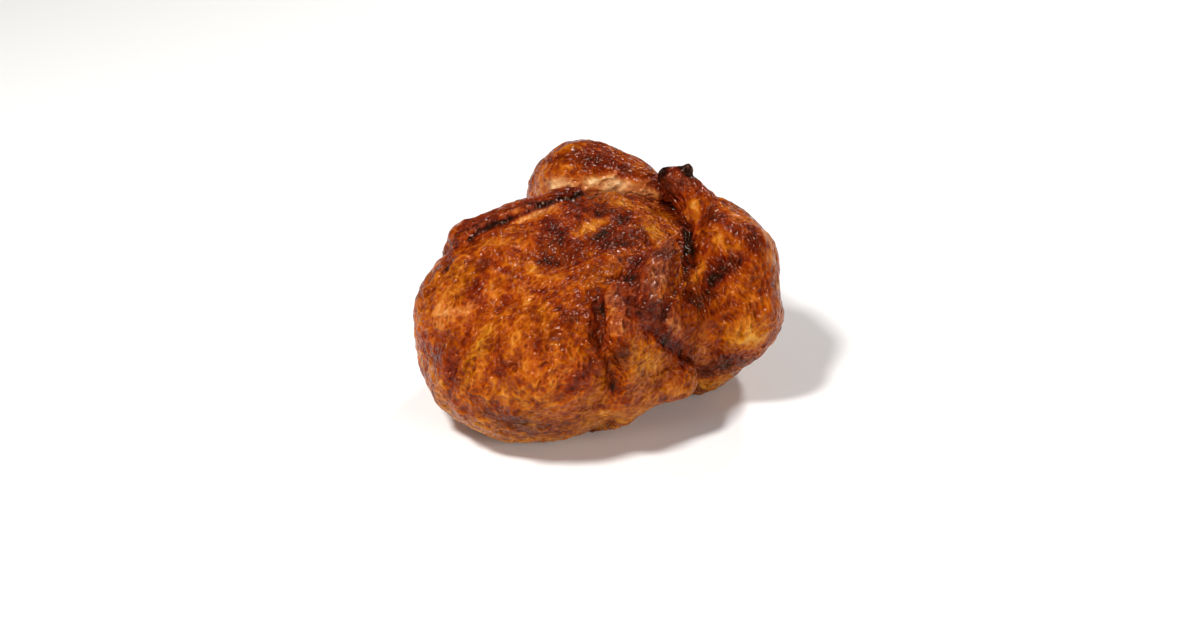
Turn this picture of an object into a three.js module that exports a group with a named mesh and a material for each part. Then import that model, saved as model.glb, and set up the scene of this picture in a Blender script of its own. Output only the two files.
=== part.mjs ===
// A whole roast chicken, trussed and lying on its back, in one piece.
// Millimetres. +X runs from the neck to the tail, +Y is the bird's left, +Z is up, towards the breast.
// The body is a blend of rounded masses: each one is a distance function, negative inside, and the
// skin is the surface where their smooth union is zero.
import * as THREE from 'three';

const point = (x, y, z) => new THREE.Vector3(x, y, z);
const ball = (x, y, z, radius) => new THREE.Sphere(point(x, y, z), radius);
const egg = (at, size, yaw = 0, pitch = 0) => ({
  at: point(...at),
  size: point(...size),
  unturn: new THREE.Quaternion()
    .setFromEuler(new THREE.Euler(0, THREE.MathUtils.degToRad(pitch), THREE.MathUtils.degToRad(yaw), 'ZYX'))
    .invert(),
});

// ---- How the bird lies -----------------------------------------------------------------------
const LEAN = THREE.MathUtils.degToRad(6); // it leans towards its right side
const LEAN_HEIGHT = 45; // height of the lengthwise line it leans about
const CENTRE = point(-0.25, 0.2, 0); // middle of the bird's footprint, moved to the origin
const RIGHT = -1;
const LEFT = 1;

// ---- Trunk -----------------------------------------------------------------------------------
const CHEST = egg([-39, 0, 40], [62, 57, 44]);
const CHEST_UNDERSIDE = egg([-50, 9, 27], [43, 45, 28]);
const RUMP = egg([36, 0, 38], [52, 42, 40]);
const BREAST_LOBES = [RIGHT, LEFT].map((side) => egg([-29, 24 * side, 55], [63, 35, 35], -8 * side, -5));
const BREAST_REAR = [egg([12, -12, 57], [50, 27, 32]), egg([8, 15, 59.5], [46, 27, 33])];
const TAIL = egg([84, 0, 41], [17, 13, 11], 0, -28);
const VENT = egg([88, 0, 60], [15, 15, 13]); // shallow hollow above the tail
const KEEL = [point(-92, 0, 62), point(-60, 0, 88), point(-20, 0, 93), point(24, 0, 88)];
const KEEL_WIDTH = 9;
const KEEL_DEPTH = 2.2;

// ---- Legs: thigh, then balls along the drumstick from the knee up to the ankle ------------------
const RIGHT_LEG = {
  thigh: egg([34, -39, 33], [36, 26, 32]),
  drumstick: [
    ball(36, -57, 53, 24.6), ball(48.3, -40.8, 71, 22.1), ball(56, -23, 76, 16.5), ball(54, -10, 85, 9),
  ],
  shank: [ball(54, -5, 88.5, 9), ball(51.5, 3, 94, 8)],
  knuckles: [ball(49.5, 9, 96, 3.8), ball(56.5, 1, 100, 3.2)],
};
const LEFT_LEG = {
  thigh: egg([32, 42, 37], [36, 27, 38]),
  drumstick: [
    ball(36.7, 61.9, 61.3, 22.8), ball(37.7, 52.8, 70.6, 24.2), ball(45, 42.3, 71, 21.4),
    ball(51, 32, 75.7, 13.2), ball(57.5, 17, 77, 8.5),
  ],
  shank: [ball(60.5, 13.5, 79, 8), ball(64, 9, 83, 7.5)],
  knuckles: [ball(67.5, 4, 83, 3.5), ball(66.5, 10, 87.5, 3.5)],
};

// ---- Wings: a web of skin that follows the breast, the upper arm under it and the hand over it --
// The outlines of the web and of the flat plates on it are drawn on a plane that leans over the
// breast's side: along it runs x, and up it runs WEB_UP.
const WEB_UP = point(0, 0.6, 0.8);
const RIGHT_WING = {
  side: RIGHT,
  web: {
    thickness: 7,
    outline: [
      [-49, -6], [-38, -20], [-8, -18], [2, -6], [0, 10], [4, 30], [14, 50], [-4, 50], [-22, 44], [-26, 47],
      [-29, 50], [-35, 50.5], [-41, 47], [-46, 42], [-49.5, 34], [-51.5, 27], [-50.5, 20], [-49, 12],
    ],
  },
  plates: [{
    thickness: 10.5,
    outline: [
      [13, 57], [3, 55], [-8, 52.5], [-18, 50], [-28, 46], [-35, 41], [-36, 31], [-28, 26],
      [-20, 29], [-12, 35.5], [-4, 42], [4, 48], [12, 53.5],
    ],
  }],
  upperArm: [ball(-44, -50, 42, 15), ball(-11, -63, 39, 11.5)],
  hand: [ball(-28, -42, 82, 6), ball(-6, -37, 86, 5), ball(12, -30, 88, 3)],
};
const LEFT_WING = {
  side: LEFT,
  web: {
    thickness: 5,
    outline: [
      [-50, -4], [-34, -12], [-10, -14], [0, -2], [0, 12], [0, 30], [0, 40], [-9, 43.5], [-18, 43.5],
      [-27, 43], [-36, 41], [-44, 38], [-50, 34], [-52, 20], [-52, 8],
    ],
  },
  plates: [{
    thickness: 5.2,
    outline: [
      [11, 58.5], [2, 58.5], [-4, 56.5], [-11, 54], [-20, 52.5], [-28, 51], [-37, 48.5], [-46, 43.5],
      [-54, 42], [-57, 37], [-54, 30], [-44, 32], [-34, 38], [-24, 42], [-10, 44.5], [0, 48], [10, 54.5],
    ],
  }],
  upperArm: [ball(-46, 48, 42, 15), ball(-11, 61, 38, 12)],
  hand: [
    ball(-51, 50, 76, 4.6), ball(-45, 50.5, 79.3, 5), ball(-36, 47.5, 82.5, 3.4), ball(-24, 43, 85.5, 2.6),
    ball(-12, 39, 87.4, 2.4), ball(0, 33, 89.2, 2), ball(8, 29.5, 90.4, 1.4),
  ],
};

// Skin drawn tight between the near thigh and the wing in front of it.
const SKIN_FOLD = [
  ball(15, -42, 76, 2.5), ball(12, -47, 70, 4), ball(7, -55, 60, 5), ball(6, -57, 52, 5),
  ball(5, -56, 43, 4.5),
];

// ---- Blends: how many millimetres wide the fillet between two masses is --------------------------
const BLEND = {
  trunk: 28, underside: 12, lobes: 16, rear: 14, breast: 8, thigh: 14, drumstick: 8, shank: 6, leg: 8,
  web: 4, plate: 4, upperArm: 7, hand: 6, wing: 6, fold: 14, tail: 8, vent: 8,
};
const LUMP_HEIGHT = 1; // soft unevenness of the roasted skin

// ---- Mesh ------------------------------------------------------------------------------------
const CELL = 5; // spacing of the sampling grid
const REACH = { min: point(-112, -92, -24), max: point(112, 96, 120) };
const SETTLING_STEPS = 5;
const PROBE = 0.5; // step for the slope of the distance
const FILLING = 0.001; // how far inside a filled grid point counts as
const FLATTEST_SLOPE = 0.25; // square of the slope below which a point moves no faster

const smoothMin = (a, b, width) => {
  const share = Math.max(width - Math.abs(a - b), 0) / width;
  return Math.min(a, b) - (share * share * width) / 4;
};
const smoothMax = (a, b, width) => -smoothMin(-a, -b, width);

/** Distance to an egg-shaped mass. */
function eggDistance(p, { at, size, unturn }) {
  const q = p.clone().sub(at).applyQuaternion(unturn).divide(size);
  const reach = q.length();
  return (reach * (reach - 1)) / (q.divide(size).length() + 1e-9);
}

/** Distance to a rod between two balls, as thick as each ball at its ends. */
function rodDistance(p, from, to) {
  const axis = new THREE.Line3(from.center, to.center);
  const share = axis.closestPointToPointParameter(p, true);
  const radius = THREE.MathUtils.lerp(from.radius, to.radius, share);
  return axis.at(share, new THREE.Vector3()).distanceTo(p) - radius;
}

/** Distance to a chain of balls, with a rod between each two. */
function chainDistance(p, balls, blend = 1) {
  let distance = rodDistance(p, balls[0], balls[1]);
  for (let i = 2; i < balls.length; i++) {
    distance = smoothMin(distance, rodDistance(p, balls[i - 1], balls[i]), blend);
  }
  return distance;
}

/** Signed distance in the plane to a closed outline. */
function outlineDistance(u, v, outline) {
  let nearest = Infinity;
  let inside = false;
  for (let i = 0; i < outline.length; i++) {
    const [u0, v0] = outline.at(i - 1);
    const [u1, v1] = outline[i];
    const du = u1 - u0;
    const dv = v1 - v0;
    const share = THREE.MathUtils.clamp(((u - u0) * du + (v - v0) * dv) / (du * du + dv * dv), 0, 1);
    nearest = Math.min(nearest, Math.hypot(u - u0 - share * du, v - v0 - share * dv));
    if (v0 > v !== v1 > v && u < u0 + ((v - v0) * du) / dv) inside = !inside;
  }
  return inside ? -nearest : nearest;
}

/** Depth of a soft valley along a line of points, fading out at both ends. */
function valley(p, line, width, depth) {
  let nearest = Infinity;
  let along = 0;
  for (let i = 1; i < line.length; i++) {
    const axis = new THREE.Line3(line[i - 1], line[i]);
    const share = axis.closestPointToPointParameter(p, true);
    const distance = axis.at(share, new THREE.Vector3()).distanceTo(p);
    if (distance < nearest) {
      nearest = distance;
      along = (i - 1 + share) / (line.length - 1);
    }
  }
  const fade = Math.min(1, 4 * along) * Math.min(1, 4 * (1 - along));
  return depth * fade * Math.exp(-((nearest / width) ** 2));
}

function trunk(p) {
  let distance = smoothMin(eggDistance(p, CHEST), eggDistance(p, RUMP), BLEND.trunk);
  distance = smoothMin(distance, eggDistance(p, CHEST_UNDERSIDE), BLEND.underside);
  const [front, rear] = [BREAST_LOBES, BREAST_REAR].map(([right, left]) => (
    smoothMin(eggDistance(p, right), eggDistance(p, left), BLEND.lobes)
  ));
  return smoothMin(distance, smoothMin(front, rear, BLEND.rear), BLEND.breast);
}

function leg(p, { thigh, drumstick, shank, knuckles }) {
  const meat = smoothMin(eggDistance(p, thigh), chainDistance(p, drumstick, BLEND.drumstick), BLEND.thigh);
  let joint = rodDistance(p, shank[0], shank[1]);
  for (const knuckle of knuckles) {
    joint = smoothMin(joint, rodDistance(p, ball(...shank[1].center, knuckle.radius), knuckle), BLEND.shank);
  }
  return smoothMin(meat, joint, BLEND.shank);
}

/** A wing. trunkDistance is the distance to the trunk, which the web and its plates follow. */
function wing(p, trunkDistance, { side, web, plates, upperArm, hand }) {
  const up = p.z * WEB_UP.z - side * p.y * WEB_UP.y;
  const sheet = ({ thickness, outline }) => (
    smoothMax(trunkDistance - thickness, outlineDistance(p.x, up, outline), BLEND.web)
  );
  let distance = sheet(web);
  for (const plate of plates) distance = smoothMin(distance, sheet(plate), BLEND.plate);
  distance = Math.max(distance, -side * p.y);
  distance = smoothMin(distance, chainDistance(p, upperArm), BLEND.upperArm);
  return smoothMin(distance, chainDistance(p, hand, BLEND.hand), BLEND.hand);
}

/** Slow waves, a few centimetres long, that keep the masses from being geometric. */
function lumps({ x, y, z }) {
  const a = Math.sin(x / 9.1 + 1.7 * Math.sin(y / 13));
  const b = Math.sin(y / 8.3 + 1.3 * Math.sin(z / 11));
  const c = Math.sin(z / 9.7 + 1.1 * Math.sin(x / 15));
  return LUMP_HEIGHT * a * b * c;
}

/** Distance to the whole bird from a point of the finished, leaning bird. */
function bird(standing) {
  const p = standing.clone().add(CENTRE);
  p.z -= LEAN_HEIGHT;
  p.applyAxisAngle(point(1, 0, 0), -LEAN);
  p.z += LEAN_HEIGHT;
  const trunkDistance = trunk(p);
  let distance = trunkDistance + valley(p, KEEL, KEEL_WIDTH, KEEL_DEPTH);
  for (const one of [RIGHT_LEG, LEFT_LEG]) distance = smoothMin(distance, leg(p, one), BLEND.leg);
  for (const one of [RIGHT_WING, LEFT_WING]) {
    distance = smoothMin(distance, wing(p, trunkDistance, one), BLEND.wing);
  }
  distance = smoothMin(distance, chainDistance(p, SKIN_FOLD), BLEND.fold);
  distance = smoothMin(distance, eggDistance(p, TAIL), BLEND.tail);
  distance = smoothMax(distance, -eggDistance(p, VENT), BLEND.vent);
  return distance + lumps(p);
}

/** Values of a distance on a regular grid that covers a box. */
function sampleGrid(distance, { min, max }, cell) {
  const [nx, ny, nz] = ['x', 'y', 'z'].map((axis) => Math.ceil((max[axis] - min[axis]) / cell) + 1);
  const node = (i, j, k) => point(min.x + i * cell, min.y + j * cell, min.z + k * cell);
  const index = (i, j, k) => i + nx * (j + ny * k);
  const values = new Float64Array(nx * ny * nz);
  for (let k = 0; k < nz; k++) {
    for (let j = 0; j < ny; j++) {
      for (let i = 0; i < nx; i++) values[index(i, j, k)] = distance(node(i, j, k));
    }
  }
  return { nx, ny, nz, node, index, values };
}

/** Calls visit with each cell's three numbers, leaving out the outermost layer. */
function eachCell({ nx, ny, nz }, visit) {
  for (let k = 1; k < nz - 1; k++) {
    for (let j = 1; j < ny - 1; j++) {
      for (let i = 1; i < nx - 1; i++) visit(i, j, k);
    }
  }
}

/** Number of the grid point that lies a steps u and b steps v from another. */
const offsetIndex = (index, from, a, u, b, v) => (
  index(...from.map((n, axis) => n + a * u[axis] + b * v[axis]))
);

const STEPS = [[1, 0, 0], [0, 1, 0], [0, 0, 1]];
const SQUARE = [[0, 0], [1, 0], [0, 1], [1, 1]];

/** Fills the grid points where two folds of skin would meet in nothing but a shared edge. */
function fillTightCreases(grid) {
  const { values, index } = grid;
  let filled = 0;
  eachCell(grid, (i, j, k) => {
    for (let axis = 0; axis < 3; axis++) {
      const [u, v] = [STEPS[axis], STEPS[(axis + 1) % 3]];
      const at = SQUARE.map(([a, b]) => offsetIndex(index, [i, j, k], a, u, b, v));
      const [p, q, r, s] = at.map((n) => values[n] < 0);
      if (p !== s || q !== r || p === q) continue;
      const [one, other] = p ? [at[1], at[2]] : [at[0], at[3]];
      values[values[one] < values[other] ? one : other] = -FILLING;
      filled += 1;
    }
  });
  if (filled) fillTightCreases(grid);
}

const CORNERS = [[0, 0, 0], [1, 0, 0], [0, 1, 0], [1, 1, 0], [0, 0, 1], [1, 0, 1], [0, 1, 1], [1, 1, 1]];
const EDGES = [
  [0, 1], [2, 3], [4, 5], [6, 7], [0, 2], [1, 3],
  [4, 6], [5, 7], [0, 4], [1, 5], [2, 6], [3, 7],
];

/** Mean of the points where the surface crosses the edges of one grid cell, or null. */
function cellPoint({ node, index, values }, i, j, k) {
  const at = CORNERS.map(([a, b, c]) => values[index(i + a, j + b, k + c)]);
  const sum = new THREE.Vector3();
  let crossings = 0;
  for (const [a, b] of EDGES) {
    if (at[a] < 0 === at[b] < 0) continue;
    const from = node(i + CORNERS[a][0], j + CORNERS[a][1], k + CORNERS[a][2]);
    const to = node(i + CORNERS[b][0], j + CORNERS[b][1], k + CORNERS[b][2]);
    sum.add(from.lerp(to, at[a] / (at[a] - at[b])));
    crossings += 1;
  }
  return crossings ? sum.divideScalar(crossings) : null;
}

/** Moves a point along the slope of a distance towards the surface, within its own cell. */
function settle(p, distance, cell) {
  const slope = new THREE.Vector3();
  for (let step = 0; step < SETTLING_STEPS; step++) {
    for (const axis of ['x', 'y', 'z']) {
      const ahead = p.clone();
      const behind = p.clone();
      ahead[axis] += PROBE;
      behind[axis] -= PROBE;
      slope[axis] = (distance(ahead) - distance(behind)) / (2 * PROBE);
    }
    p.addScaledVector(slope, -distance(p) / Math.max(slope.lengthSq(), FLATTEST_SLOPE));
    p.clamp(cell.min, cell.max);
  }
  return p;
}

/** One point in each cell that the surface crosses, settled on it. */
function netPoints(grid, distance) {
  const points = [];
  const numbers = new Int32Array(grid.values.length).fill(-1);
  eachCell(grid, (i, j, k) => {
    const p = cellPoint(grid, i, j, k);
    if (!p) return;
    numbers[grid.index(i, j, k)] = points.length;
    points.push(settle(p, distance, new THREE.Box3(grid.node(i, j, k), grid.node(i + 1, j + 1, k + 1))));
  });
  return { points, numbers };
}

/** Two triangles over four points in a ring, split along the shorter diagonal. */
function quad(points, a, b, c, d) {
  const acIsShorter = points[a].distanceTo(points[c]) < points[b].distanceTo(points[d]);
  return acIsShorter ? [a, b, c, a, c, d] : [a, b, d, b, c, d];
}

/** Joins the points round each grid edge that passes through the surface. */
function netFaces(grid, points, numbers) {
  const { index, values } = grid;
  const faces = [];
  eachCell(grid, (i, j, k) => {
    const here = values[index(i, j, k)] < 0;
    STEPS.forEach((step, axis) => {
      const there = values[index(i + step[0], j + step[1], k + step[2])] < 0;
      if (here === there) return;
      const [u, v] = [STEPS[(axis + 1) % 3], STEPS[(axis + 2) % 3]];
      const cell = (a, b) => numbers[offsetIndex(index, [i, j, k], -a, u, -b, v)];
      const ring = [cell(0, 0), cell(1, 0), cell(1, 1), cell(0, 1)];
      faces.push(...quad(points, ...(here ? ring : ring.reverse())));
    });
  });
  return faces;
}

/** The closed skin as triangles, flat where it lies on the ground. */
function skin(distance) {
  const grid = sampleGrid(distance, REACH, CELL);
  fillTightCreases(grid);
  const { points, numbers } = netPoints(grid, distance);
  const faces = netFaces(grid, points, numbers);
  for (const p of points) p.z = Math.max(p.z, 0);
  const geometry = new THREE.BufferGeometry().setFromPoints(points);
  geometry.setIndex(faces);
  geometry.computeVertexNormals();
  return geometry;
}

const roastSkin = new THREE.MeshStandardMaterial({ color: 0xa3521f, roughness: 0.45, metalness: 0 });
const roastChicken = new THREE.Mesh(skin(bird), roastSkin);
roastChicken.name = 'roast_chicken';

const model = new THREE.Group();
model.add(roastChicken);
export default model;
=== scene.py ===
"""A whole roast chicken lying on its back, breast up, under a browned, wrinkled skin.

The bird is a blend of rounded masses, with valleys along lines for the folds between
them. Each mass is a distance function, negative inside, and the skin is a fine mesh
over the surface where the blended distance is zero. The mesh is then wrinkled and
browned, with shade and highlights painted into its colour in places. Lengths are in
millimetres in the frame's axes (+X tail, +Y the bird's left, +Z up), and in metres
from the finished mesh on.
"""
import math

import bpy
import numpy as np
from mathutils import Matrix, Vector

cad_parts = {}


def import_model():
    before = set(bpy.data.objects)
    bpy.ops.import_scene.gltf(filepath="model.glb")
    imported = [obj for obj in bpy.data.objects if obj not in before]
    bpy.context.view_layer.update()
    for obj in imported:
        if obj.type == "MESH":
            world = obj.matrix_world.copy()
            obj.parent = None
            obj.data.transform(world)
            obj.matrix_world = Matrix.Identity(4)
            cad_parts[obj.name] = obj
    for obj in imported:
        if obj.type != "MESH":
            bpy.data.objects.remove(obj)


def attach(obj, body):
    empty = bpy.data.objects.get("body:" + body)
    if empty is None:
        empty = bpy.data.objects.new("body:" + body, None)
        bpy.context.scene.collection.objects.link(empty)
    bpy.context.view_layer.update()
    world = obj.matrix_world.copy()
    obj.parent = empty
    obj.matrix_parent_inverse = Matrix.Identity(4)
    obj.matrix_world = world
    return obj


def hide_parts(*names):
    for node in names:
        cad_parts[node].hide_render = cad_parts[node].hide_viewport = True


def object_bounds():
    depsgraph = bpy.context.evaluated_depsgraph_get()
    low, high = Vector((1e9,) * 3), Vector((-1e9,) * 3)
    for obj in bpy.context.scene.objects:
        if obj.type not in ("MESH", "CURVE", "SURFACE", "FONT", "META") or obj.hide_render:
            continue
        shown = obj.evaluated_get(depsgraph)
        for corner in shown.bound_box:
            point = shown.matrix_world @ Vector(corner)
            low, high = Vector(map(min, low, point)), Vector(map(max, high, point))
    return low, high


MM = 0.001
RIGHT, LEFT = -1, 1
TINY = 1e-9                      # keeps a division off zero

# ---- How the bird lies ----------------------------------------------------------
LEAN = math.radians(6)           # towards its right side
LEAN_HEIGHT = 45                 # of the line that it leans about
CENTRE = (-0.25, 0.2, 0)         # middle of the footprint, moved to the origin


def egg(at, size, yaw=0, pitch=0):
    """A mass: its middle, its half sizes and its turn, from two angles in degrees."""
    y, p = math.radians(yaw), math.radians(pitch)
    about_z = np.array([[math.cos(y), -math.sin(y), 0], [math.sin(y), math.cos(y), 0], [0, 0, 1]])
    about_y = np.array([[math.cos(p), 0, math.sin(p)], [0, 1, 0], [-math.sin(p), 0, math.cos(p)]])
    return np.array(at, float), np.array(size, float), about_z @ about_y


# ---- Trunk ----------------------------------------------------------------------
CHEST = egg((-39, 0, 40), (62, 57, 44))
CHEST_UNDERSIDE = egg((-50, 9, 27), (43, 45, 28))
RUMP = egg((36, 0, 38), (52, 42, 40))
BREAST_LOBES = [egg((-29, 24 * side, 55), (63, 35, 35), -8 * side, -5) for side in (RIGHT, LEFT)]
BREAST_REAR = [egg((12, -12, 57), (50, 27, 32)), egg((8, 15, 59.5), (46, 27, 33))]
TAIL = egg((84, 0, 41), (17, 13, 11), 0, -28)
VENT = egg((88, 0, 60), (15, 15, 13))
KEEL = [(-92, 0, 62), (-60, 0, 88), (-20, 0, 93), (24, 0, 88)]
KEEL_WIDTH, KEEL_DEPTH = 9, 2.2

# ---- Legs: thigh, then balls (x, y, z, radius) from the knee up to the ankle ----
RIGHT_LEG = dict(
    thigh=egg((34, -39, 33), (36, 26, 32)),
    drumstick=[(36, -57, 53, 24.6), (48.3, -40.8, 71, 22.1), (56, -23, 76, 16.5), (54, -10, 85, 9)],
    shank=[(54, -5, 88.5, 9), (51.5, 3, 94, 8)],
    knuckles=[(49.5, 9, 96, 3.8), (56.5, 1, 100, 3.2)],
)
LEFT_LEG = dict(
    thigh=egg((32, 42, 37), (36, 27, 38)),
    drumstick=[(36.7, 61.9, 61.3, 22.8), (37.7, 52.8, 70.6, 24.2), (45, 42.3, 71, 21.4),
               (51, 32, 75.7, 13.2), (57.5, 17, 77, 8.5)],
    shank=[(60.5, 13.5, 79, 8), (64, 9, 83, 7.5)],
    knuckles=[(67.5, 4, 83, 3.5), (66.5, 10, 87.5, 3.5)],
)
LEGS = (RIGHT_LEG, LEFT_LEG)

# ---- Wings: a web that follows the breast, the upper arm and the hand -----------
# Outlines are (along X, up in the web's plane); a plate is an outline, its thickness
# and the width of its rounded edge. Arms, hands and the skin fold are balls, as in the
# legs. A furrow is the line where the wing's edge meets the breast.
WEB_UP = (0.6, 0.8)              # share of sideways and of upwards in the web's plane
RIGHT_WING = dict(
    side=RIGHT,
    web_thickness=7,
    web=[(-49, -6), (-38, -20), (-8, -18), (2, -6), (0, 10), (4, 30), (14, 50), (-4, 50), (-22, 44),
         (-26, 47), (-29, 50), (-35, 50.5), (-41, 47), (-46, 42), (-49.5, 34), (-51.5, 27),
         (-50.5, 20), (-49, 12)],
    plates=[
        ([(13, 57), (3, 55), (-8, 52.5), (-18, 50), (-28, 46), (-35, 41), (-36, 31), (-28, 26),
          (-20, 29), (-12, 35.5), (-4, 42), (4, 48), (12, 53.5)], 10.5, 4),
        ([(-12, 26), (-9, 23), (-5.5, 12.5), (-17, 15), (-23, 20), (-17, 24)], 9, 1.5),
    ],
    upper_arm=[(-44, -50, 42, 15), (-11, -63, 39, 11.5)],
    hand=[(-28, -42, 82, 6), (-6, -37, 86, 5), (12, -30, 88, 3)],
    furrow=[(22, -22, 88), (15.6, -26.6, 89.2), (2.8, -31.5, 89.4), (-8.7, -35.3, 89.2),
            (-18.5, -39.6, 88.1), (-21.8, -34.9, 88.2), (-29.9, -35, 88.2), (-38.5, -38.4, 86.3),
            (-45.2, -42.8, 83.1), (-50.3, -47, 79.1), (-53.7, -51, 74.2), (-53.1, -54.9, 68.7),
            (-51.4, -57.9, 62.1), (-51.1, -59.3, 51.8), (-50.1, -58.7, 42.1), (-44, -59, 34),
            (-34, -56, 20)],
)
LEFT_WING = dict(
    side=LEFT,
    web_thickness=5,
    web=[(-50, -4), (-34, -12), (-10, -14), (0, -2), (0, 12), (0, 30), (0, 40), (-9, 43.5),
         (-18, 43.5), (-27, 43), (-36, 41), (-44, 38), (-50, 34), (-52, 20), (-52, 8)],
    plates=[
        ([(11, 58.5), (2, 58.5), (-4, 56.5), (-11, 54), (-20, 52.5), (-28, 51), (-37, 48.5),
          (-46, 43.5), (-54, 42), (-57, 37), (-54, 30), (-44, 32), (-34, 38), (-24, 42),
          (-10, 44.5), (0, 48), (10, 54.5)], 5.2, 2.5),
    ],
    upper_arm=[(-46, 48, 42, 15), (-11, 61, 38, 12)],
    hand=[(-51, 50, 76, 4.6), (-45, 50.5, 79.3, 5), (-36, 47.5, 82.5, 3.4), (-24, 43, 85.5, 2.6),
          (-12, 39, 87.4, 2.4), (0, 33, 89.2, 2), (8, 29.5, 90.4, 1.4)],
    furrow=[(-72, 36, 76), (-67.1, 39.6, 78.4), (-62.4, 40.6, 80), (-53, 40.3, 83.2),
            (-45.7, 41.2, 84.5), (-36.6, 36.9, 87.6), (-28.4, 35.1, 88.8), (-19.9, 33.5, 89.7),
            (-11.1, 32.1, 90.4), (-3.6, 29.3, 91.5), (1.2, 27.2, 92.2), (9.2, 26.5, 91.5),
            (18, 24, 90)],
)
WINGS = (RIGHT_WING, LEFT_WING)
SKIN_FOLD = [(15, -42, 76, 2.5), (12, -47, 70, 4), (7, -55, 60, 5), (6, -57, 52, 5), (5, -56, 43, 4.5)]
FURROW_WIDTH, FURROW_DEPTH = 2.2, 5   # groove in the breast along each wing's edge

# ---- Blends: width of the fillet between two masses -----------------------------
BLEND = dict(trunk=28, underside=12, lobes=16, rear=14, breast=8, thigh=14, drumstick=8, shank=3,
             collar=3, leg=2.5, web=4, plate=2.5, upper_arm=5, hand=5, wing=2, fold=14, tail=8, vent=8)
LUMP_HEIGHT = 1
LUMP_WAVES = [(9.1, 1.7, 13), (8.3, 1.3, 11), (9.7, 1.1, 15)]  # length, bend, length of the bend
COLLAR_TUBE = 2.4                # skin drawn back into a ring round the ankle

# ---- Creases and folds in the skin: line, width, depth (a fold's is negative) ---
PLEAT_OFFSETS = (-9, -3.5, 2.5, 9)  # sideways, from the right
NECK_PLEATS = [
    ([(-70 - 2 * n, y * 0.5 - 8, 84), (-92, y - 10, 62), (-101, y * 1.5 - 12, 38),
      (-95, y * 2.2 - 14, 16)], 2.4, 2.4)
    for n, y in enumerate(PLEAT_OFFSETS)
]
WING_CREASES = [
    ([(-19, -40, 90), (-26, -44.5, 91.5), (-32, -49, 91), (-36, -52, 88)], 2.2, 3.0),
    ([(-34, -58, 80), (-30.4, -60.6, 76), (-25.4, -63.1, 70), (-19.6, -64.2, 63.4),
      (-10.5, -63.2, 55.1)], 2.0, 3.0),
    ([(10, -47, 80), (3.7, -50.4, 80.4), (-6.2, -54.7, 78.9), (-15.2, -58.3, 76.7),
      (-23.4, -61.4, 73.4)], 1.4, -2.0),
]
LEG_CREASES = [
    ([(50, -58, 91), (35, -57, 87), (25, -54, 80), (14, -51, 66)], 4.0, 0.9),
    ([(38, -40, 94), (30, -49, 88), (23, -46, 81), (13, -42, 68)], 3.5, -0.9),
    ([(41, -10, 91), (37, -18, 86), (31, -28, 87)], 2.0, -2.0),
]
VALLEY_ENDS = 4                  # a valley fades over the first and the last 1/4 of its line

# ---- Mesh -----------------------------------------------------------------------
CELL = 1.1
REACH = np.array([(-108, -90, -12), (108, 92, 116)], float)
BLOCK = 8                        # grid cells along one side of a coarse block
NEAR_BLOCK = 1.3                 # block sizes from the surface within which the grid is fine
CHUNK = 60000                    # points worked out at a time
SKIN_DEPTH = 0.5                 # the fine skin starts this far under the plain form
PROBE = 0.4                      # step for finding the slope of a distance
PROBE_CORNERS = np.array([(1, -1, -1), (-1, -1, 1), (-1, 1, -1), (1, 1, 1)])
SETTLING_STEPS = 2               # moves of the points onto the surface
LEAST_GAIN = 0.3                 # keeps such a move short where the distance is flat
CORNERS = np.array([(i, j, k) for i in (0, 1) for j in (0, 1) for k in (0, 1)])
EDGES = [(a, b) for a in range(8) for b in range(a + 1, 8) if np.abs(CORNERS[a] - CORNERS[b]).sum() == 1]


# ---- Distances ------------------------------------------------------------------
def smooth_min(a, b, width):
    share = np.maximum(width - np.abs(a - b), 0) / width
    return np.minimum(a, b) - share * share * width / 4


def smooth_max(a, b, width):
    return -smooth_min(-a, -b, width)


def egg_distance(p, mass):
    at, size, turn = mass
    q = (p - at) @ turn / size
    reach = np.sqrt((q * q).sum(1)) + TINY
    q /= size
    return reach * (reach - 1) / (np.sqrt((q * q).sum(1)) + TINY)


def share_along(p, start, axis):
    return np.clip((p - start) @ axis / (axis @ axis), 0, 1)


def rod_distance(p, a, b):
    """Distance to a rod between two balls (x, y, z, radius)."""
    a, b = np.array(a, float), np.array(b, float)
    axis = b[:3] - a[:3]
    share = share_along(p, a[:3], axis)
    off = p - a[:3] - share[:, None] * axis
    return np.sqrt((off * off).sum(1)) - a[3] - (b[3] - a[3]) * share


def chain_distance(p, balls, blend=1):
    """Distance to rods that follow a line of balls."""
    distance = rod_distance(p, balls[0], balls[1])
    for a, b in zip(balls[1:], balls[2:]):
        distance = smooth_min(distance, rod_distance(p, a, b), blend)
    return distance


def line_distance(p, line):
    """Distance to a line of points, and the share of the way along it."""
    line = np.array(line, float)
    nearest = np.full(len(p), np.inf)
    along = np.zeros(len(p))
    for i, (a, b) in enumerate(zip(line, line[1:])):
        share = share_along(p, a, b - a)
        off = p - a - share[:, None] * (b - a)
        distance = np.sqrt((off * off).sum(1))
        closer = distance < nearest
        nearest[closer] = distance[closer]
        along[closer] = (i + share[closer]) / (len(line) - 1)
    return nearest, along


def valley(p, line, width, depth):
    """Depth of a soft valley along a line, fading out at both ends."""
    distance, along = line_distance(p, line)
    ends = np.clip(VALLEY_ENDS * along, 0, 1) * np.clip(VALLEY_ENDS - VALLEY_ENDS * along, 0, 1)
    return depth * ends * np.exp(-(distance / width) ** 2)


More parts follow.
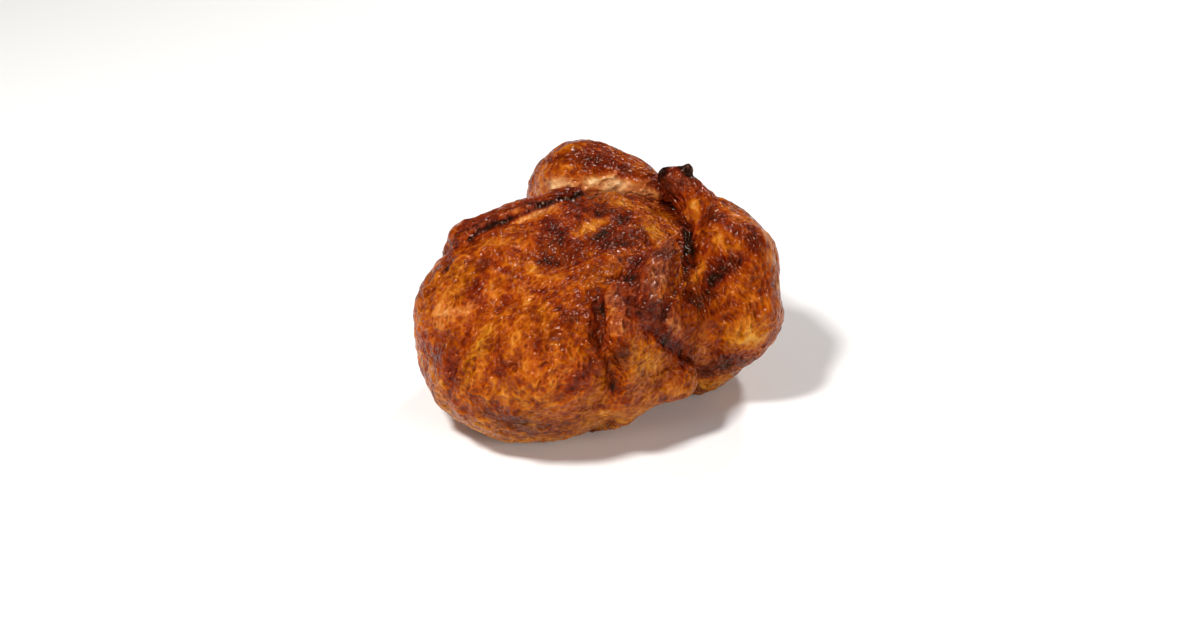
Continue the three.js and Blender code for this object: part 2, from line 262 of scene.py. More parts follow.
def outline_distance(u, v, outline):
    """Signed distance in the plane to a closed outline."""
    outline = np.array(outline, float)
    nearest = np.full(len(u), np.inf)
    inside = np.zeros(len(u), bool)
    for (u0, v0), (u1, v1) in zip(np.roll(outline, 1, 0), outline):
        du, dv = u1 - u0, v1 - v0
        share = np.clip(((u - u0) * du + (v - v0) * dv) / (du * du + dv * dv), 0, 1)
        nearest = np.minimum(nearest, np.hypot(u - u0 - share * du, v - v0 - share * dv))
        if dv:
            inside ^= ((v0 > v) != (v1 > v)) & (u < u0 + (v - v0) * du / dv)
    return np.where(inside, -nearest, nearest)


def trunk_distance(p):
    distance = smooth_min(egg_distance(p, CHEST), egg_distance(p, RUMP), BLEND["trunk"])
    distance = smooth_min(distance, egg_distance(p, CHEST_UNDERSIDE), BLEND["underside"])
    rear = smooth_min(*[egg_distance(p, lobe) for lobe in BREAST_REAR], BLEND["lobes"])
    lobes = smooth_min(*[egg_distance(p, lobe) for lobe in BREAST_LOBES], BLEND["lobes"])
    return smooth_min(distance, smooth_min(lobes, rear, BLEND["rear"]), BLEND["breast"])


def joint_distance(p, leg):
    """The bare shank and its two knuckles."""
    end = leg["shank"][1]
    distance = rod_distance(p, *leg["shank"])
    for knuckle in leg["knuckles"]:
        rod = rod_distance(p, (*end[:3], knuckle[3]), knuckle)
        distance = smooth_min(distance, rod, BLEND["shank"])
    return distance


def collar_distance(p, leg):
    """A ring of drawn-back skin where the meat of the leg ends."""
    ball = np.array(leg["drumstick"][-1], float)
    axis = np.array(leg["shank"][1][:3]) - ball[:3]
    axis /= np.linalg.norm(axis)
    height = (p - ball[:3]) @ axis
    across = np.sqrt(np.maximum(((p - ball[:3]) ** 2).sum(1) - height ** 2, 0))
    return np.hypot(across - ball[3], height) - COLLAR_TUBE


def leg_distance(p, leg):
    drumstick = chain_distance(p, leg["drumstick"], BLEND["drumstick"])
    meat = smooth_min(egg_distance(p, leg["thigh"]), drumstick, BLEND["thigh"])
    meat = smooth_min(meat, collar_distance(p, leg), BLEND["collar"])
    return smooth_min(meat, joint_distance(p, leg), BLEND["shank"])


def wing_distance(p, trunk, wing):
    """A folded wing, whose web and plates lie over the trunk on the wing's own side."""
    side = wing["side"]
    up = p[:, 2] * WEB_UP[1] - side * p[:, 1] * WEB_UP[0]
    inside = outline_distance(p[:, 0], up, wing["web"])
    web = smooth_max(trunk - wing["web_thickness"], inside, BLEND["web"])
    for outline, thickness, rounding in wing["plates"]:
        plate = smooth_max(trunk - thickness, outline_distance(p[:, 0], up, outline), rounding)
        web = smooth_min(web, plate, BLEND["plate"])
    web = np.maximum(web, -side * p[:, 1])
    arm = smooth_min(web, chain_distance(p, wing["upper_arm"]), BLEND["upper_arm"])
    return smooth_min(arm, chain_distance(p, wing["hand"], BLEND["hand"]), BLEND["hand"])


def lumps(p):
    """Low swellings from three waves that cross."""
    height = LUMP_HEIGHT
    for axis, (length, bend, bend_length) in enumerate(LUMP_WAVES):
        across = p[:, (axis + 1) % 3]
        height = height * np.sin(p[:, axis] / length + bend * np.sin(across / bend_length))
    return height


def upright(p):
    """The same points on the bird before it leans."""
    x, y, z = (p + CENTRE).T
    c, s = math.cos(LEAN), math.sin(LEAN)
    z = z - LEAN_HEIGHT
    return np.stack([x, c * y + s * z, c * z - s * y + LEAN_HEIGHT], 1)


def bird_distance(finished):
    """Distance to the whole bird from points in the frame."""
    p = upright(finished)
    trunk = trunk_distance(p)
    distance = trunk + valley(p, KEEL, KEEL_WIDTH, KEEL_DEPTH)
    for pleat in NECK_PLEATS:
        distance = distance + valley(p, *pleat)
    for wing in WINGS:
        distance = distance + valley(p, wing["furrow"], FURROW_WIDTH, FURROW_DEPTH)
    for leg in LEGS:
        distance = smooth_min(distance, leg_distance(p, leg), BLEND["leg"])
    for wing in WINGS:
        distance = smooth_min(distance, wing_distance(p, trunk, wing), BLEND["wing"])
    distance = smooth_min(distance, chain_distance(p, SKIN_FOLD), BLEND["fold"])
    for crease in WING_CREASES + LEG_CREASES:
        distance = distance + valley(p, *crease)
    distance = smooth_min(distance, egg_distance(p, TAIL), BLEND["tail"])
    distance = smooth_max(distance, -egg_distance(p, VENT), BLEND["vent"])
    return distance + lumps(p) + SKIN_DEPTH


# ---- Meshing --------------------------------------------------------------------
def in_chunks(function, points):
    return np.concatenate([function(points[i:i + CHUNK]) for i in range(0, len(points), CHUNK)])


def sample(distance, low, high, cell):
    """Distances on a grid; only blocks near the surface are worked out finely."""
    blocks = np.ceil((high - low) / (cell * BLOCK)).astype(int)
    centres = low + (np.indices(blocks).reshape(3, -1).T + 0.5) * cell * BLOCK
    values = in_chunks(distance, centres).reshape(blocks)
    for axis in range(3):
        values = np.repeat(values, BLOCK, axis)
    near = np.argwhere(np.abs(values) < cell * BLOCK * NEAR_BLOCK)
    values[tuple(near.T)] = in_chunks(distance, low + near * cell)
    return values


def net_points(values):
    """One point in each cell that the surface crosses, in grid units."""
    shape = np.array(values.shape) - 1
    corner = [values[tuple(slice(c, c + n) for c, n in zip(offset, shape))] for offset in CORNERS]
    inside = sum((c < 0).astype(int) for c in corner)
    cells = np.argwhere((inside > 0) & (inside < len(CORNERS)))
    at = np.stack([c[tuple(cells.T)] for c in corner], 1)
    total = np.zeros((len(cells), 3))
    count = np.zeros(len(cells))
    for a, b in EDGES:
        crossed = (at[:, a] < 0) != (at[:, b] < 0)
        share = at[crossed, a] / (at[crossed, a] - at[crossed, b])
        total[crossed] += CORNERS[a] + share[:, None] * (CORNERS[b] - CORNERS[a])
        count[crossed] += 1
    return cells, cells + total / count[:, None]


def net_faces(values, cells):
    """Four-sided faces round each grid edge that passes through the surface."""
    number = np.full(values.shape, -1)
    number[tuple(cells.T)] = np.arange(len(cells))
    faces = []
    for axis in range(3):
        step = np.eye(3, dtype=int)[axis]
        u, v = np.eye(3, dtype=int)[[(axis + 1) % 3, (axis + 2) % 3]]
        inner = values[1:-1, 1:-1, 1:-1] < 0
        ahead = values[tuple(slice(1 + s, n - 1 + s) for s, n in zip(step, values.shape))] < 0
        for start, flip in ((True, False), (False, True)):
            at = np.argwhere((inner != ahead) & (inner == start)) + 1
            ring = [number[tuple((at - a * u - b * v).T)] for a, b in ((0, 0), (1, 0), (1, 1), (0, 1))]
            faces.append(np.stack(ring[::-1] if flip else ring, 1))
    return np.concatenate(faces)


def slope(distance, points):
    """Direction in which a distance grows at each point; the steeper, the longer."""
    total = np.zeros_like(points)
    for corner in PROBE_CORNERS:
        total += corner * in_chunks(distance, points + corner * PROBE)[:, None]
    return total / (4 * PROBE)


def unit(vectors):
    return vectors / (np.linalg.norm(vectors, axis=1)[:, None] + TINY)


def skin_net():
    """Points, outward directions and faces of the smooth skin."""
    values = sample(bird_distance, *REACH, CELL)
    cells, points = net_points(values)
    faces = net_faces(values, cells)
    points = REACH[0] + points * CELL
    for _ in range(SETTLING_STEPS):
        out = slope(bird_distance, points)
        gain = np.maximum((out * out).sum(1), LEAST_GAIN)
        move = np.clip(in_chunks(bird_distance, points) / gain, -CELL / 2, CELL / 2)
        points = points - out * move[:, None]
    return points, unit(slope(bird_distance, points)), faces


# ---- Noise ----------------------------------------------------------------------
NOISE_TABLE = 256                # a power of two
NOISE_GAIN = 1.6
CREST_SHARPNESS = 3


def noise(p, seed):
    """Gradient noise from about -1 to 1, with features about one unit across."""
    rng = np.random.default_rng(seed)
    shuffle = rng.permutation(NOISE_TABLE)
    gradients = unit(rng.normal(size=(NOISE_TABLE, 3)))
    last = NOISE_TABLE - 1
    base = np.floor(p).astype(int)
    local = p - base
    ease = local ** 3 * (local * (local * 6 - 15) + 10)
    total = np.zeros(len(p))
    for corner in CORNERS:
        x, y, z = ((base + corner) & last).T
        pick = shuffle[(shuffle[(shuffle[x] + y) & last] + z) & last]
        weight = np.where(corner, ease, 1 - ease).prod(1)
        total += weight * ((local - corner) * gradients[pick]).sum(1)
    return NOISE_GAIN * total


def rough_noise(p, size, seed, octaves):
    """Sum of noises, each finer and weaker than the last."""
    return sum(noise(p * 2 ** n / size, seed + n) / 2 ** n for n in range(octaves)) / (2 - 2 ** (1 - octaves))


def ridges(p, size, seed):
    """Thin crests, 1 on the crest and 0 between."""
    return (1 - np.abs(noise(p / size, seed))) ** CREST_SHARPNESS


def warped(p, reach, size, seeds):
    """Points moved about by some reach, so that what is drawn on them wavers."""
    return p + reach * np.stack([noise(p / size, seed) for seed in seeds], 1)


# ---- Wrinkles -------------------------------------------------------------------
WRINKLE_WARP = dict(reach=1.5, size=11, seeds=(11, 12, 13))
TRUNK_STREAKS, TRUNK_STRETCH = (1, 0.2, 0.5), 1.15
LIMB_STRETCH, LIMB_BLEND = 1.5, 4
SWELL_HEIGHT, SWELLS = 1.0, dict(size=15, seed=21, octaves=2)
FOLD_HEIGHT, FOLD_SIZE, FOLD_SEED = 0.7, 5.5, 31
BLISTER_HEIGHT, BLISTERS = 0.4, dict(size=3.6, seed=35)
BLISTER_LEVEL = 0.4              # where on its side a blister leaves the skin as it is


def stretched(p, along, stretch):
    """Points squeezed along a direction, so that noise on them runs in streaks."""
    along = np.array(along, float) / np.linalg.norm(along)
    return p - np.outer(p @ along, along) * (1 - 1 / stretch)


def fibre_points(points):
    """Points on which wrinkles are drawn: streaks follow the breast, legs and hands."""
    p = upright(points)
    warp = warped(p, **WRINKLE_WARP)
    fibre = stretched(warp, TRUNK_STREAKS, TRUNK_STRETCH)
    nearest = trunk_distance(p)
    for balls in [leg["drumstick"] for leg in LEGS] + [wing["hand"] for wing in WINGS]:
        line = np.array(balls, float)
        distance = chain_distance(p, line, LIMB_BLEND)
        closer = distance < nearest
        fibre[closer] = stretched(warp[closer], line[-1, :3] - line[0, :3], LIMB_STRETCH)
        nearest = np.minimum(nearest, distance)
    return fibre


def wrinkle(points, out, fibre):
    """Moves the smooth skin in and out into swells, folds and blisters."""
    height = SWELL_HEIGHT * rough_noise(points, **SWELLS)
    height += FOLD_HEIGHT * noise(fibre / FOLD_SIZE, FOLD_SEED)
    height += BLISTER_HEIGHT * (ridges(fibre, **BLISTERS) - BLISTER_LEVEL)
    return points + out * height[:, None]


# ---- Stains, painted shade and painted highlights -------------------------------
# From, to, radius, change of browning (positive is darker) and change of tone (positive
# is yellow, negative is tan). Most strokes are stains; those marked below are painted
# shade and painted highlights. The two ends must differ: a stroke without length is lost.
BREAST_STAINS_AND_PAINTED_SHADOW = [
    ((-6, 21, 94), (4, 5, 93), 7, 0.16, 0), ((-23, 10, 92), (-24, 3, 90), 6, 0.26, 0),
    ((-33, 7, 89), (-38, -1, 84), 4.5, 0.24, 0), ((-24, -7, 86), (-8, -9, 89), 4, 0.20, 0),
    ((-8, -9, 89), (13, -7, 90), 4, 0.20, 0), ((-13, -17, 88), (7, -23, 88), 6, 0.20, 0),
    # The second stroke on the next line, beside the near wing's hand, is partly scorch and partly painted
    # shadow.
    ((-35, -5, 84), (-24, -22, 88), 5, 0.10, 0), ((-5, -34, 85), (-24, -44, 87), 4, 0.26, 0),
    ((-60, 19, 85), (-73, 10, 77), 3.5, 0.13, 0), ((-55, -15, 82), (-57, -23, 81), 4, 0.13, 0),
    ((-44, -42, 80), (-53, -50, 68), 5, 0.20, 0), ((-63, -38, 77), (-63, -45, 73), 7, 0.10, 0),
    ((-46, 21, 90), (-37, 9, 88), 9, -0.07, 0), ((-18, 1, 90), (3, -2, 91), 2.6, -0.16, 0.2),
    ((15, -21, 87), (8, -34, 89), 5, -0.26, 0.2), ((-15, -29, 87), (-31, -32, 87), 5, 0.06, 0.1),
    ((-45, -19, 84), (-42, -28, 85), 5, 0.06, 0.1), ((-46, 1, 83), (-48, -8, 82), 3.5, -0.18, 0.1),
    ((-73, 25, 79), (-76, 16, 76), 6, -0.02, 0.1), ((-60, -10, 80), (-62, -16, 79), 4, -0.18, 0),
    ((-65, 8, 80), (-71, -1, 76), 5, -0.16, 0), ((-64, -28, 79), (-65, -33, 78), 4, -0.14, 0),
    ((-27, 28, 90), (-4, 22, 93), 3.5, -0.42, -0.5), ((18, 5, 92), (34, -2, 86), 5, -0.16, 0.1),
    ((36, -11, 84), (30, -24, 82), 4, -0.10, 0.1),
]
NECK_END_STAINS_AND_PAINTED_LIGHT = [
    # The first stroke on the next line is a painted highlight, pale peach, at the neck end.
    ((-87, 19, 67), (-85, 7, 72), 8, -0.22, -0.5), ((-91, 5, 63), (-79, 3, 73), 7, 0.14, 0),
    ((-95, 19, 48), (-97, 2, 49), 7, 0.10, 0), ((-97, 17, 43), (-99, 11, 38), 5, -0.08, 0.4),
    ((-82, -9, 69), (-89, -10, 62), 3, -0.08, 0.4), ((-89, -10, 62), (-97, -8, 43), 3, -0.06, 0.35),
    ((-97, 0, 45), (-98, 3, 31), 5, 0.10, 0), ((-91, -25, 56), (-89, -34, 56), 5, 0.10, 0),
    ((-76, -52, 50), (-69, -55, 54), 5, 0.14, 0), ((-69, -55, 54), (-63, -57, 57), 4, 0.14, 0),
    # The strokes from here to the end of the list are painted shade along the bottom of the breast, over a
    # yellower tone.
    ((-84, -31, 23), (-70, -44, 23), 9, 0.14, 0.3), ((-95, -20, 32), (-84, -38, 30), 8, 0.11, 0.2),
    ((-92, -26, 32), (-60, -54, 33), 8, 0.06, 0.2),
]
WING_STAINS = [
    ((4, -42, 91), (-8, -48, 90), 5, 0.06, -0.1), ((-12, -50, 88), (-22, -57, 83), 5, -0.10, -0.1),
    ((-34, -61, 79), (-20, -62, 72), 7, 0.18, 0), ((-16, -63, 70), (-13, -66, 60), 4, -0.14, 0),
    ((-27, -63, 67), (-20, -64, 59), 3, 0.20, 0), ((-20, -64, 59), (-8, -63, 47), 3, 0.24, 0),
    ((-44, -49, 82), (-48, -60, 72), 6, -0.12, -0.1), ((-49, -61, 66), (-46, -64, 66), 5, 0.06, 0.3),
    ((-40, -67, 55), (-34, -67, 56), 7, -0.12, 0.15), ((8, -38, 91), (-20, -55, 84), 8, 0.06, -0.9),
    ((-32, -47, 87), (-38, -52, 82), 7, 0.06, -0.7), ((-30, -60, 78), (-14, -64, 64), 8, 0.04, -0.6),
    ((-42, -50, 82), (-46, -60, 72), 6, 0, -0.4), ((-48, -63, 66), (-48, -62, 54), 5, 0.20, 0.1),
]
FAR_WING_STAINS = [
    ((-62, 43, 82), (-44, 38, 91), 6, 0.02, -0.4), ((-44, 38, 91), (-13, 28, 95), 5, 0.10, -0.4),
    ((-13, 28, 95), (2, 22, 96), 4, 0.20, -0.2),
]
NEAR_LEG_STAINS_AND_PAINTED_LIGHT = [
    ((48, -60, 83), (28, -55, 74), 5, 0.26, 0), ((28, -55, 74), (12, -56, 63), 5, 0.22, 0),
    ((45, -31, 88), (43, -34, 87), 6, 0.30, 0), ((45, -50, 89), (52, -54, 86), 6, 0.14, 0),
    ((35, -46, 84), (22, -47, 74), 3.5, -0.16, 0.1), ((22, -47, 74), (14, -50, 69), 4, -0.12, 0.1),
    ((58, -10, 99), (46, -4, 95), 7, 0.06, -0.7), ((53, -41, 90), (60, -58, 79), 5, -0.24, -0.6),
    # The second stroke on the next line and on the one after is painted shade under the thigh, over a
    # yellower tone.
    ((23, -77, 54), (27, -80, 48), 4, -0.16, 0.1), ((22, -69, 29), (33, -78, 35), 6, 0.16, 0.3),
    ((19, -74, 46), (27, -80, 49), 6, -0.14, 0.5), ((12, -58, 25), (20, -67, 28), 9, 0.30, 0.1),
    # From the second stroke on the next line to the end of the line after it, the strokes are painted shade
    # in the crevice between the near leg and the breast.
    ((46, -20, 90), (44, -24, 88), 4, -0.20, 0.1), ((42, -18, 81), (34, -27, 80), 3.5, 0.24, 0),
    ((34, -27, 80), (28, -34, 77), 3.5, 0.28, 0), ((28, -34, 77), (11, -48, 73), 3.5, 0.22, 0),
    # The next stroke is a painted highlight in tan along the lit right edge of the near leg.
    ((56, -66, 73), (47, -76, 58), 5, -0.08, -0.7),
]
FAR_LEG_STAINS_AND_PAINTED_LIGHT = [
    ((32, 44, 101), (38, 37, 99), 6, 0.16, 0), ((38, 37, 99), (45, 26, 94), 5, 0.18, 0),
    ((15, 46, 88), (14, 58, 82), 6, -0.12, -0.8), ((25, 30, 88), (30, 24, 88), 5, -0.16, -0.3),
    ((15, 46, 88), (36, 24, 89), 5, -0.26, -0.8), ((23, 51, 98), (21, 57, 93), 5, 0.16, 0),
    # The second stroke on the next line is tan skin made paler where the stump's shadow falls: partly real
    # tone, partly painted light.
    ((36, 24, 89), (48, 12, 84), 5, -0.24, -0.8), ((46, 8, 83), (42, 2, 83), 4, -0.10, -0.4),
]
STAINS_AND_PAINTED_LIGHT = BREAST_STAINS_AND_PAINTED_SHADOW + NECK_END_STAINS_AND_PAINTED_LIGHT + WING_STAINS + FAR_WING_STAINS
STAINS_AND_PAINTED_LIGHT += NEAR_LEG_STAINS_AND_PAINTED_LIGHT + FAR_LEG_STAINS_AND_PAINTED_LIGHT
STAIN_AND_PAINTED_LIGHT_STRENGTH = 1.45
STAIN_AND_PAINTED_LIGHT_WARP = dict(reach=2.5, size=7, seeds=(51, 52, 53))

# ---- Browning, with painted shade and highlights: 0 is pale skin, 1 deep mahogany and 1.25 char ---
# gap_char_and_shade: the dark line along each wing's edge, partly char and partly painted shade.
ROAST = dict(skin=0.555, facing_up=0.10, patches=0.11, hand=0.08, gap_char_and_shade=0.55, shank=0.12, knuckle=0.45,
             near_ground=-0.06)
TONE = dict(skin=0.20, near_ground=0.50, patches=0.30)
WIDTH = dict(hand=5, gap_char_and_shade=1.4, shank=4, knuckle=3, near_ground=40)
ROAST_PATCHES = dict(size=24, seed=61, octaves=3)
TONE_PATCHES = dict(size=30, seed=71, octaves=2)
MOST_ROAST = 1.3
CREASE_REACHES = (4, 12)         # how far above the skin a crease's other side is looked for


def stain_and_painted_light_totals(points):
    """Change of browning and of tone from the stains, painted shade and painted highlights."""
    roast_and_painted_light, tone = np.zeros((2, len(points)))
    for start, end, radius, darker, yellower in STAINS_AND_PAINTED_LIGHT:
        distance, _ = line_distance(points, [start, end])
        share = np.exp(-(distance / radius) ** 2)
        roast_and_painted_light += STAIN_AND_PAINTED_LIGHT_STRENGTH * darker * share
        tone += yellower * share
    return roast_and_painted_light, tone


def closeness(distance, width):
    """1 where a distance is 0 or less, easing down to 0 at the given width."""
    t = np.clip(distance / width, 0, 1)
    return 1 - t * t * (3 - 2 * t)


def browning_and_painted_light(points, out):
    """How dark the skin is roasted, with painted shade and highlights added, and its tone (1 is yellow, -1
    tan).
    """
    p = upright(points)
    stains_and_painted_light, yellowing = stain_and_painted_light_totals(warped(points, **STAIN_AND_PAINTED_LIGHT_WARP))
    roast_and_painted_light = ROAST["skin"] + ROAST["facing_up"] * out[:, 2] + stains_and_painted_light
    roast_and_painted_light += ROAST["patches"] * rough_noise(points, **ROAST_PATCHES)
    for wing in WINGS:
        roast_and_painted_light += ROAST["hand"] * closeness(chain_distance(p, wing["hand"]), WIDTH["hand"])
        # Dark line along the wing's edge: partly char, partly painted shade in the gap between wing and
        # breast.
        gap_char_and_shade, _ = line_distance(p, wing["furrow"])
        roast_and_painted_light += ROAST["gap_char_and_shade"] * np.exp(-(gap_char_and_shade / WIDTH["gap_char_and_shade"]) ** 2)
    for leg in LEGS:
        roast_and_painted_light += ROAST["shank"] * closeness(joint_distance(p, leg), WIDTH["shank"])
        for knuckle in leg["knuckles"]:
            tip = np.linalg.norm(p - np.array(knuckle[:3]), axis=1)
            roast_and_painted_light += ROAST["knuckle"] * closeness(tip - knuckle[3], WIDTH["knuckle"])
    low = closeness(points[:, 2], WIDTH["near_ground"])
    roast_and_painted_light += ROAST["near_ground"] * low
    tone = TONE["skin"] + TONE["near_ground"] * low + yellowing
    tone += TONE["patches"] * rough_noise(points, **TONE_PATCHES)
    return np.clip(roast_and_painted_light, 0, MOST_ROAST), np.clip(tone, -1, 1)


def hollowness(points, out, reach):
    """1 in the bottom of a crease as deep as reach, 0 on open skin."""
    return np.clip(1 - in_chunks(bird_distance, points + out * reach) / reach, 0, 1)


# ---- The skin as an object ------------------------------------------------------
def fit(points, box):
    """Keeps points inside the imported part's box and on the ground."""
    low, high = np.array(box) / MM
    return np.clip(points, low, high)


def build_mesh(name, points, faces):
    mesh = bpy.data.meshes.new(name)
    mesh.vertices.add(len(points))
    mesh.vertices.foreach_set("co", (points * MM).ravel())
    mesh.loops.add(faces.size)
    mesh.loops.foreach_set("vertex_index", faces.ravel())
    mesh.polygons.add(len(faces))
    mesh.polygons.foreach_set("loop_start", np.arange(0, faces.size, faces.shape[1]))
    mesh.polygons.foreach_set("use_smooth", np.ones(len(faces), bool))
    mesh.update(calc_edges=True)
    mesh.validate()
    return mesh


def add_attribute(mesh, name, values):
    """Gives each point of the mesh a number."""
    attribute = mesh.attributes.new(name, "FLOAT", "POINT")
    attribute.data.foreach_set("value", values.astype(np.float32))


def build_skin(cad_box):
    points, out, faces = skin_net()
    roast_and_painted_light, tone = browning_and_painted_light(points, out)
    # crease: how hollow the skin is; the material paints shade into creases from it.
    crease = sum(hollowness(points, out, reach) for reach in CREASE_REACHES) / len(CREASE_REACHES)
    fibre = fibre_points(points)
    points = fit(wrinkle(points, out, fibre), cad_box)
    mesh = build_mesh("chicken_skin", points, faces)
    add_attribute(mesh, "roast_and_painted_light", roast_and_painted_light)
    add_attribute(mesh, "tone", tone)
    add_attribute(mesh, "crease", crease)
    streaks = mesh.attributes.new("fibre", "FLOAT_VECTOR", "POINT")
    streaks.data.foreach_set("vector", (fibre * MM).astype(np.float32).ravel())
    skin = bpy.data.objects.new("chicken_skin", mesh)
    bpy.context.collection.objects.link(skin)
    skin.data.materials.append(skin_material())
    return skin


# ---- Material: sizes in metres, linear colours ----------------------------------
BLOTCHES = dict(size=0.010, detail=3, rough=0.55)
MOTTLES = dict(size=0.0042, detail=2, rough=0.6)
TINTS = dict(size=0.012, detail=3, rough=0.65)
GRAIN_SIZE, CRINKLE_SIZE, PLEAT_SIZE = 0.0019, 0.0034, 0.0062
PEBBLE_SMOOTHNESS = 0.5
BROWNED_BY = [                   # pattern, where in its range it changes nothing, weight
    ("blotch", 0.5, 0.80), ("mottle", 0.5, 0.52), ("grain", 0.45, -0.28), ("crinkle", 0.45, -0.09),
    ("pleat", 0.45, -0.05),
]
RAISED_BY = [("grain", 0.7), ("crinkle", 0.45), ("pleat", 0.55), ("mottle", -0.6)]
# Painted shade: how much darker the colour gets in the bottom of a crease.
CREASE_SHADE = 0.35
TINT_STRENGTH = 1.4
RIDGE_STEEPNESS = -6.0
BUMP_DISTANCE = 0.0012
LEAST_ROUGHNESS, MOTTLE_ROUGHNESS = 0.10, 0.24
LEVEL_SCALE = 0.8                # browning of 1.25, char, is at the end of the colour ramps
# Colour ramps: place on the ramp and colour, from pale skin to char
ROAST_COLOURS = [
    (0.00, (0.72, 0.40, 0.17)), (0.14, (0.62, 0.23, 0.055)), (0.27, (0.53, 0.150, 0.015)),
    (0.40, (0.40, 0.077, 0.003)), (0.51, (0.27, 0.035, 0.001)), (0.62, (0.18, 0.016, 0.001)),
    (0.72, (0.12, 0.009, 0.001)), (0.82, (0.08, 0.005, 0.001)), (1.00, (0.015, 0.003, 0.001)),
]
FAT_COLOURS = [
    (0.00, (0.74, 0.45, 0.13)), (0.16, (0.60, 0.29, 0.035)), (0.32, (0.46, 0.150, 0.005)),
    (0.48, (0.27, 0.068, 0.001)), (0.64, (0.12, 0.021, 0.001)), (1.00, (0.012, 0.004, 0.001)),
]
TAN_COLOURS = [
    (0.00, (0.78, 0.50, 0.25)), (0.16, (0.60, 0.30, 0.12)), (0.32, (0.40, 0.155, 0.058)),
    (0.48, (0.23, 0.064, 0.026)), (0.64, (0.12, 0.024, 0.010)), (1.00, (0.02, 0.005, 0.003)),
]


class Nodes:
    """Small helper for wiring a material."""

    def __init__(self, name):
        self.material = bpy.data.materials.new(name)
        self.material.use_nodes = True
        self.tree = self.material.node_tree
        self.tree.nodes.clear()

    def add(self, kind, inputs=(), **settings):
        node = self.tree.nodes.new(kind)
        for key, value in settings.items():
            setattr(node, key, value)
        for key, value in dict(inputs).items():
            if isinstance(value, bpy.types.NodeSocket):
                self.tree.links.new(value, node.inputs[key])
            else:
                node.inputs[key].default_value = value
        return node

    def math(self, operation, *values):
        return self.add("ShaderNodeMath", enumerate(values), operation=operation).outputs[0]

    def clamp(self, value):
        return self.add("ShaderNodeClamp", {"Value": value}).outputs[0]

    def attribute(self, name, output="Fac"):
        return self.add("ShaderNodeAttribute", attribute_name=name).outputs[output]

    def noise(self, size, detail, rough=0.5):
        """Noise around 0.5 with features of the given size, drawn out along the fibres."""
        where = self.attribute("fibre", "Vector")
        inputs = {"Vector": where, "Scale": 1 / size, "Detail": detail, "Roughness": rough}
        return self.add("ShaderNodeTexNoise", inputs).outputs["Fac"]

    def pebbles(self, size):
        """Distance from the middle of rounded pebbles of the given size, 0 in the middle."""
        where = self.attribute("fibre", "Vector")
        inputs = {"Vector": where, "Scale": 1 / size, "Smoothness": PEBBLE_SMOOTHNESS}
        return self.add("ShaderNodeTexVoronoi", inputs, feature="SMOOTH_F1").outputs["Distance"]

    def ridges(self, size):
        """Thin winding ridges about the given size apart, near 1 on top and near 0 between them."""
        away = self.math("ABSOLUTE", self.math("SUBTRACT", self.noise(size, 0), 0.5))
        return self.math("MULTIPLY_ADD", away, RIDGE_STEEPNESS, 1.0)

    def ramp(self, factor, stops):
        node = self.add("ShaderNodeValToRGB", {"Fac": factor})
        elements = node.color_ramp.elements
        while len(elements) < len(stops):
            elements.new(0.5)
        for element, (position, colour) in zip(elements, stops):
            element.position = position
            element.color = (*colour, 1)
        return node.outputs["Color"]

    def mix(self, factor, a, b):
        return self.add("ShaderNodeMix", {0: factor, 6: a, 7: b}, data_type="RGBA").outputs[2]


def skin_patterns(n):
    """The noises that colour and raise the skin."""
    return dict(
        blotch=n.noise(**BLOTCHES),
        mottle=n.noise(**MOTTLES),
        grain=n.pebbles(GRAIN_SIZE),
        crinkle=n.ridges(CRINKLE_SIZE),
        pleat=n.ridges(PLEAT_SIZE),
    )


def skin_colour(n, patterns):
    """Colour from how dark the skin is and from its tone."""
    level = n.attribute("roast_and_painted_light")
    for name, middle, weight in BROWNED_BY:
        level = n.math("MULTIPLY_ADD", n.math("SUBTRACT", patterns[name], middle), weight, level)
    # Painted shade in the creases: the hollower the skin, the darker its colour.
    level = n.math("MULTIPLY_ADD", n.attribute("crease"), CREASE_SHADE, level)
    level = n.math("MULTIPLY", level, LEVEL_SCALE)
    tint = n.math("SUBTRACT", n.noise(**TINTS), 0.5)
    tone = n.math("MULTIPLY_ADD", tint, TINT_STRENGTH, n.attribute("tone"))
    yellow, tan = n.clamp(tone), n.clamp(n.math("MULTIPLY", tone, -1.0))
    colour = n.mix(yellow, n.ramp(level, ROAST_COLOURS), n.ramp(level, FAT_COLOURS))
    return n.mix(tan, colour, n.ramp(level, TAN_COLOURS))


def skin_normal(n, patterns):
    """Surface direction with the finest relief, too small for the mesh."""
    height = 0.0
    for name, weight in RAISED_BY:
        height = n.math("MULTIPLY_ADD", patterns[name], weight, height)
    bump = n.add("ShaderNodeBump", {"Strength": 1.0, "Distance": BUMP_DISTANCE, "Height": height})
    return bump.outputs["Normal"]


def skin_material():
    n = Nodes("roast_skin")
    patterns = skin_patterns(n)
    shader = n.add("ShaderNodeBsdfPrincipled", {
        "Base Color": skin_colour(n, patterns),
        "Roughness": n.math("MULTIPLY_ADD", patterns["mottle"], MOTTLE_ROUGHNESS, LEAST_ROUGHNESS),
        "Normal": skin_normal(n, patterns),
        "Subsurface Weight": 0.08,
        "Subsurface Radius": (1.0, 0.35, 0.12),
        "Subsurface Scale": 0.0015,
        "Specular IOR Level": 0.17,
        "Specular Tint": (1.0, 0.62, 0.40, 1.0),
    })
    n.add("ShaderNodeOutputMaterial", {"Surface": shader.outputs[0]})
    return n.material


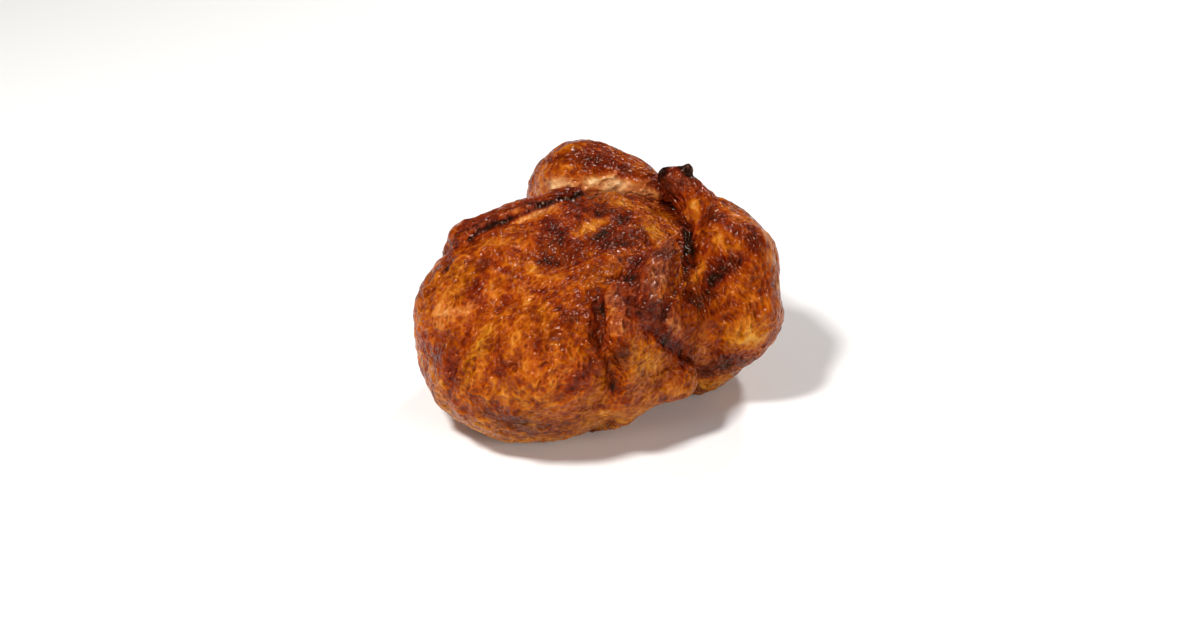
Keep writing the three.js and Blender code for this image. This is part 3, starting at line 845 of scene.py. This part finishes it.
# ---- Stage, in metres -----------------------------------------------------------
VIEW_AZIMUTH, VIEW_ELEVATION = math.radians(-45), math.radians(30.5)
VIEW_DISTANCE, VIEW_TARGET = 1.15, (0.00025, -0.0002, 0.038)
LENS, SENSOR_WIDTH = 69, 36      # in millimetres
CLIP_START, CLIP_END = 0.05, 20
LIGHTS = [                       # name, place, width, power in watts
    ("key", (-0.66, 0.02, 1.10), 0.22, 16),
    ("rim", (0.80, 0.25, 0.80), 0.20, 6.5),
    ("fill", (-0.10, -1.20, 0.55), 0.45, 6),
    ("side", (-1.25, 0.10, 0.45), 0.35, 3),
]
LIGHT_TARGET = (0, 0, 0.05)
FLOOR_HALF = 6
FLOOR_COLOUR, FLOOR_ROUGHNESS = (0.90, 0.885, 0.865, 1), 0.9
WORLD_COLOUR, WORLD_STRENGTH = (1, 1, 1, 1), 0.09


def aim(thing, target):
    direction = Vector(target) - thing.location
    thing.rotation_euler = direction.to_track_quat("-Z", "Y").to_euler()


def add_camera():
    data = bpy.data.cameras.new("camera")
    data.lens, data.sensor_width = LENS, SENSOR_WIDTH
    data.clip_start, data.clip_end = CLIP_START, CLIP_END
    camera = bpy.data.objects.new("camera", data)
    bpy.context.collection.objects.link(camera)
    flat = math.cos(VIEW_ELEVATION)
    back = (math.sin(VIEW_AZIMUTH) * flat, -math.cos(VIEW_AZIMUTH) * flat, math.sin(VIEW_ELEVATION))
    camera.location = [t + VIEW_DISTANCE * b for t, b in zip(VIEW_TARGET, back)]
    aim(camera, VIEW_TARGET)
    bpy.context.scene.camera = camera


def add_light(name, location, width, power):
    data = bpy.data.lights.new(name, "AREA")
    data.shape, data.size, data.energy = "DISK", width, power
    light = bpy.data.objects.new(name, data)
    bpy.context.collection.objects.link(light)
    light.location = location
    aim(light, LIGHT_TARGET)


def add_floor():
    mesh = bpy.data.meshes.new("floor")
    corners = [(x * FLOOR_HALF, y * FLOOR_HALF, 0) for x, y in ((-1, -1), (1, -1), (1, 1), (-1, 1))]
    mesh.from_pydata(corners, [], [(0, 1, 2, 3)])
    floor = bpy.data.objects.new("floor", mesh)
    bpy.context.collection.objects.link(floor)
    n = Nodes("floor_paper")
    inputs = {"Base Color": FLOOR_COLOUR, "Roughness": FLOOR_ROUGHNESS}
    shader = n.add("ShaderNodeBsdfPrincipled", inputs)
    n.add("ShaderNodeOutputMaterial", {"Surface": shader.outputs[0]})
    mesh.materials.append(n.material)


def add_world():
    world = bpy.data.worlds.new("studio")
    world.use_nodes = True
    background = world.node_tree.nodes["Background"]
    background.inputs["Color"].default_value = WORLD_COLOUR
    background.inputs["Strength"].default_value = WORLD_STRENGTH
    bpy.context.scene.world = world
    bpy.context.scene.view_settings.view_transform = "Standard"


def main():
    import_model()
    cad_box = [list(corner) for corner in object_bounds()]
    add_world()
    add_camera()
    for light in LIGHTS:
        add_light(*light)
    add_floor()
    skin = build_skin(cad_box)
    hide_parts("roast_chicken")
    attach(skin, "root")


main()
